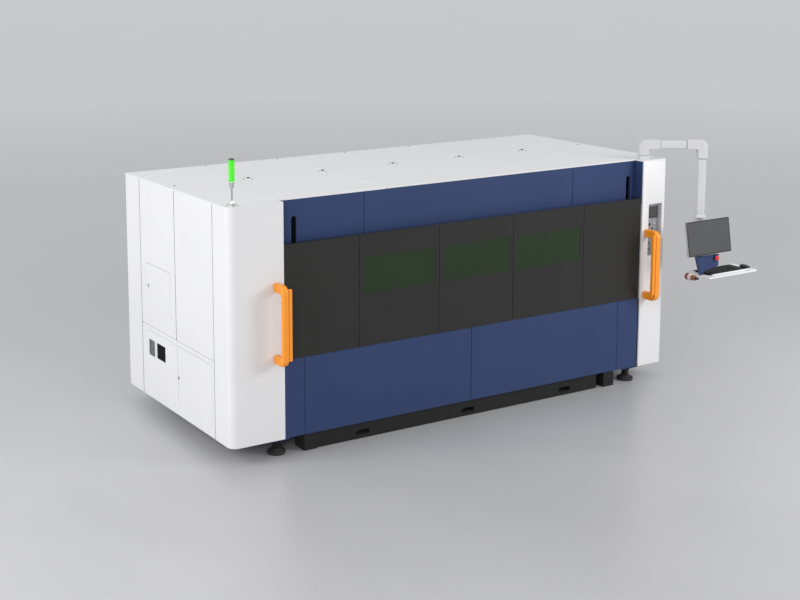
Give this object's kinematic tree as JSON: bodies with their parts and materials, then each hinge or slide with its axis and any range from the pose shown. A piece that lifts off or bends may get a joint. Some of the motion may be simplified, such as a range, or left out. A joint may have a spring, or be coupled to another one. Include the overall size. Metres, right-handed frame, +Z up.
{
  "type": "fiber laser cutting machine",
  "caption": "Enclosed fiber laser cutting machine for sheet metal, white and blue, with a dark lifting front door, orange handles and an operator screen on a swing arm.",
  "frame": {"origin": "on the floor, in the middle of the enclosure's length and depth, under the base frame's cross beam", "axes": "+X to the right along the front, +Y to the rear, +Z up"},
  "size_m": [5.68, 2.5003, 2.6003],
  "materials": {
    "white_paint": "satin white powder coat",
    "blue_paint": "satin dark blue powder coat",
    "dark_glazing": "dark smooth glazed panel",
    "green_laser_glass": "dark green laser-safe pane",
    "black_steel": "matte black paint on steel",
    "orange_plastic": "smooth orange plastic",
    "green_lamp": "lit clear green lens",
    "polished_metal": "polished metal",
    "machined_steel": "machined steel",
    "light_grey_paint": "light grey paint",
    "panel_grey": "grey panel plastic",
    "black_plastic": "matte black plastic",
    "red_button": "smooth red plastic",
    "galvanised_sheet": "galvanised sheet"
  },
  "bodies": {
    "machine": {"base_frame": "black_steel", "levelling_foot_front_left": "black_steel", "levelling_foot_front_right": "black_steel", "levelling_foot_rear_left": "black_steel", "levelling_foot_rear_right": "black_steel", "bed_beam_front": "blue_paint", "bed_beam_rear": "blue_paint", "left_cabinet": "light_grey_paint", "right_end_frame": "light_grey_paint", "top_rail_front": "light_grey_paint", "top_rail_rear": "light_grey_paint", "slat_table": "black_steel", "corner_panel_left": "white_paint", "corner_panel_right": "white_paint", "side_panel_rear": "white_paint", "side_panel_upper_rear": "white_paint", "side_panel_upper_front": "white_paint", "side_panel_lower": "white_paint", "end_panel_right": "white_paint", "rear_panel": "white_paint", "laser_source": "light_grey_paint", "roof_left": "white_paint", "roof_middle": "white_paint", "roof_right": "white_paint", "header_left": "blue_paint", "header_right": "blue_paint", "header_centre": "blue_paint", "skirt_left": "blue_paint", "skirt_right": "blue_paint", "handle_left": "orange_plastic", "handle_right": "orange_plastic", "tower_post": "polished_metal", "tower_lamp": "green_lamp", "operator_panel": "panel_grey", "arm_foot": "light_grey_paint"},
    "door": {"front_door": "dark_glazing", "door_window_1": "green_laser_glass", "door_window_2": "green_laser_glass", "door_window_3": "green_laser_glass"},
    "gantry": {"gantry_beam": "light_grey_paint"},
    "carriage": {"head_carriage": "blue_paint"},
    "head": {"cutting_head": "machined_steel"},
    "access_leaf": {"access_door": "white_paint"},
    "access_key": {"access_latch": "machined_steel"},
    "cabinet_leaf_rear": {"cabinet_door_rear": "white_paint", "vent_grille": "galvanised_sheet", "cabinet_window": "black_plastic"},
    "cabinet_leaf_front": {"cabinet_door_front": "white_paint"},
    "cabinet_key": {"cabinet_latch": "machined_steel"},
    "boom": {"arm_boom": "light_grey_paint"},
    "operator_station": {"drop_tube": "light_grey_paint", "console": "blue_paint", "keyboard_tray": "white_paint", "keyboard": "black_plastic", "mouse": "black_plastic", "handset": "panel_grey"},
    "screen": {"monitor": "black_plastic"},
    "stop": {"stop_button": "red_button"},
    "button_1": {"panel_button_1": "black_plastic"},
    "button_2": {"panel_button_2": "black_plastic"}
  },
  "joints": [
    {"name": "door_lift", "type": "slide", "parent": "machine", "child": "door", "axis": [0, 0, 1], "range_m": [0, 0.75]},
    {"name": "gantry_travel", "type": "slide", "parent": "machine", "child": "gantry", "axis": [1, 0, 0], "range_m": [0, 3.3]},
    {"name": "carriage_travel", "type": "slide", "parent": "gantry", "child": "carriage", "axis": [0, 1, 0], "range_m": [0, 1.28]},
    {"name": "head_travel", "type": "slide", "parent": "carriage", "child": "head", "axis": [0, 0, 1], "range_m": [-0.1, 0]},
    {"name": "access_hinge", "type": "hinge", "parent": "machine", "child": "access_leaf", "pos_m": [-2.415, 0.088, 1.22], "axis": [0, 0, 1], "range_deg": [0, 100]},
    {"name": "access_lock", "type": "hinge", "parent": "access_leaf", "child": "access_key", "pos_m": [-2.415, 0.567, 1.222], "axis": [-1, 0, 0], "range_deg": [0, 90]},
    {"name": "cabinet_rear_hinge", "type": "hinge", "parent": "machine", "child": "cabinet_leaf_rear", "pos_m": [-2.415, 0.616, 0.52], "axis": [0, 0, -1], "range_deg": [0, 100]},
    {"name": "cabinet_front_hinge", "type": "hinge", "parent": "machine", "child": "cabinet_leaf_front", "pos_m": [-2.415, -0.7, 0.52], "axis": [0, 0, 1], "range_deg": [0, 100]},
    {"name": "cabinet_lock", "type": "hinge", "parent": "cabinet_leaf_front", "child": "cabinet_key", "pos_m": [-2.415, -0.0458, 0.507], "axis": [-1, 0, 0], "range_deg": [0, 90]},
    {"name": "boom_swivel", "type": "hinge", "parent": "machine", "child": "boom", "pos_m": [2.19, -0.95, 2.25], "axis": [0, 0, 1], "range_deg": [-55, 50]},
    {"name": "drop_swivel", "type": "hinge", "parent": "boom", "child": "operator_station", "pos_m": [2.65471, -1.25526, 2.2], "axis": [0, 0, 1], "range_deg": [-30, 45]},
    {"name": "screen_tilt", "type": "hinge", "parent": "operator_station", "child": "screen", "pos_m": [2.67071, -1.28856, 1.44], "axis": [1, 0, 0], "range_deg": [-15, 10]},
    {"name": "stop_press", "type": "slide", "parent": "operator_station", "child": "stop", "axis": [0, 1, 0], "range_m": [0, 0.004], "stiffness_N_per_m": 1500, "springref_m": -0.002},
    {"name": "button_1_press", "type": "slide", "parent": "machine", "child": "button_1", "axis": [0, 1, 0], "range_m": [0, 0.003], "stiffness_N_per_m": 800, "springref_m": -0.001},
    {"name": "button_2_press", "type": "slide", "parent": "machine", "child": "button_2", "axis": [0, 1, 0], "range_m": [0, 0.003], "stiffness_N_per_m": 800, "springref_m": -0.001}
  ]
}
